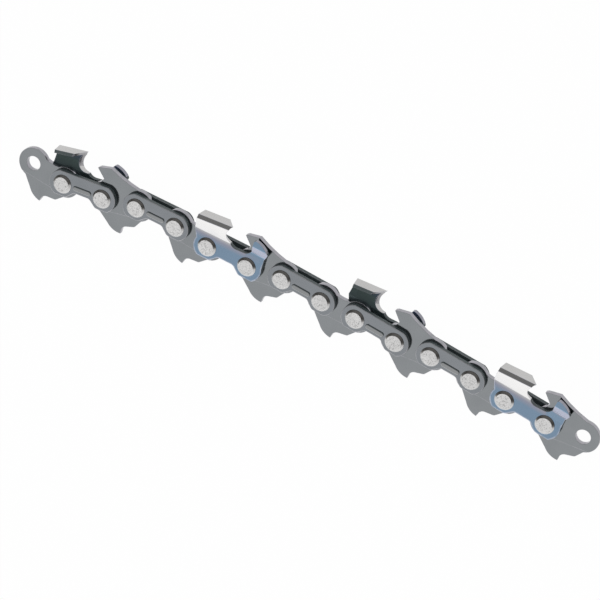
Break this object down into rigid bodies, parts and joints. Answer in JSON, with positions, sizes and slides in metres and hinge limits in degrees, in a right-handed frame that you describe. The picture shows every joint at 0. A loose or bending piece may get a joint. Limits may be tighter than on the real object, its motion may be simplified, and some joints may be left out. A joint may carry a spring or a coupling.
{
  "type": "chainsaw chain run",
  "caption": "Flexible run of low-profile saw chain: drive links with tangs and bumper ramps, riveted between tie straps and left- and right-hand folded cutters.",
  "frame": {"origin": "middle of the run's box, on the floor that it lies on", "axes": "+X along the chain in its cutting direction, +Y towards the cutters' top plates, +Z along the rivets, up"},
  "size_m": [0.149, 0.0182, 0.0061],
  "materials": {
    "drive_link": "tumbled hardened steel, dull grey",
    "tie_strap": "tumbled hardened steel with bare sheared edges",
    "cutter": "thin chrome plate with a blue-grey tint, bare ground edges",
    "rivet": "spun head, bright and fine-grained"
  },
  "bodies": {
    "drive_1": {"drive_link_1": "drive_link"},
    "side_link_1": {"right_tie_strap_1": "tie_strap", "left_cutter_1": "cutter", "rivet_1": "rivet", "rivet_2": "rivet"},
    "drive_2": {"bumper_drive_link_1": "drive_link"},
    "side_link_2": {"right_tie_strap_2": "tie_strap", "left_tie_strap_1": "tie_strap", "rivet_3": "rivet", "rivet_4": "rivet"},
    "drive_3": {"drive_link_2": "drive_link"},
    "side_link_3": {"right_cutter_1": "cutter", "left_tie_strap_2": "tie_strap", "rivet_5": "rivet", "rivet_6": "rivet"},
    "drive_4": {"bumper_drive_link_2": "drive_link"},
    "side_link_4": {"right_tie_strap_3": "tie_strap", "left_tie_strap_3": "tie_strap", "rivet_7": "rivet", "rivet_8": "rivet"},
    "drive_5": {"drive_link_3": "drive_link"},
    "side_link_5": {"right_tie_strap_4": "tie_strap", "left_cutter_2": "cutter", "rivet_9": "rivet", "rivet_10": "rivet"},
    "drive_6": {"bumper_drive_link_3": "drive_link"},
    "side_link_6": {"right_tie_strap_5": "tie_strap", "left_tie_strap_4": "tie_strap", "rivet_11": "rivet", "rivet_12": "rivet"},
    "drive_7": {"drive_link_4": "drive_link"},
    "side_link_7": {"right_cutter_2": "cutter", "left_tie_strap_5": "tie_strap", "rivet_13": "rivet", "rivet_14": "rivet"},
    "drive_8": {"bumper_drive_link_4": "drive_link"}
  },
  "joints": [
    {"name": "rivet_hinge_8", "type": "hinge", "parent": "side_link_4", "child": "drive_5", "pos_m": [0.00507, 0.00125, 0.00301], "axis": [0, 0, 1], "range_deg": [-32.2, 11.8]},
    {"name": "rivet_hinge_9", "type": "hinge", "parent": "drive_5", "child": "side_link_5", "pos_m": [0.01379, 0.00108, 0.00301], "axis": [0, 0, 1], "range_deg": [-26.4, 17.6]},
    {"name": "rivet_hinge_10", "type": "hinge", "parent": "side_link_5", "child": "drive_6", "pos_m": [0.02408, 0.00024, 0.00301], "axis": [0, 0, 1], "range_deg": [-39.6, 4.4]},
    {"name": "rivet_hinge_11", "type": "hinge", "parent": "drive_6", "child": "side_link_6", "pos_m": [0.03277, 0.00098, 0.00301], "axis": [0, 0, 1], "range_deg": [-20.4, 23.6]},
    {"name": "rivet_hinge_12", "type": "hinge", "parent": "side_link_6", "child": "drive_7", "pos_m": [0.04307, 0.00014, 0.00301], "axis": [0, 0, 1], "range_deg": [-29.7, 14.3]},
    {"name": "rivet_hinge_13", "type": "hinge", "parent": "drive_7", "child": "side_link_7", "pos_m": [0.05175, -0.00062, 0.00301], "axis": [0, 0, 1], "range_deg": [-29.6, 14.4]},
    {"name": "rivet_hinge_14", "type": "hinge", "parent": "side_link_7", "child": "drive_8", "pos_m": [0.06204, -0.0016, 0.00301], "axis": [0, 0, 1], "range_deg": [-41, 3]},
    {"name": "rivet_hinge_7", "type": "hinge", "parent": "side_link_4", "child": "drive_4", "pos_m": [-0.00524, 0.00185, 0.00301], "axis": [0, 0, 1], "range_deg": [-23.9, 20.1]},
    {"name": "rivet_hinge_6", "type": "hinge", "parent": "drive_4", "child": "side_link_3", "pos_m": [-0.01391, 0.00084, 0.00301], "axis": [0, 0, 1], "range_deg": [-6.9, 37.1]},
    {"name": "rivet_hinge_5", "type": "hinge", "parent": "side_link_3", "child": "drive_3", "pos_m": [-0.02423, 0.00093, 0.00301], "axis": [0, 0, 1], "range_deg": [-8.6, 35.4]},
    {"name": "rivet_hinge_4", "type": "hinge", "parent": "drive_3", "child": "side_link_2", "pos_m": [-0.03291, 0.00183, 0.00301], "axis": [0, 0, 1], "range_deg": [-19.9, 24.1]},
    {"name": "rivet_hinge_3", "type": "hinge", "parent": "side_link_2", "child": "drive_2", "pos_m": [-0.04324, 0.00183, 0.00301], "axis": [0, 0, 1], "range_deg": [-26.3, 17.7]},
    {"name": "rivet_hinge_2", "type": "hinge", "parent": "drive_2", "child": "side_link_1", "pos_m": [-0.05176, -0.00003, 0.00301], "axis": [0, 0, 1], "range_deg": [-7.7, 36.3]},
    {"name": "rivet_hinge_1", "type": "hinge", "parent": "side_link_1", "child": "drive_1", "pos_m": [-0.06203, -0.00111, 0.00301], "axis": [0, 0, 1], "range_deg": [-2, 42]}
  ]
}
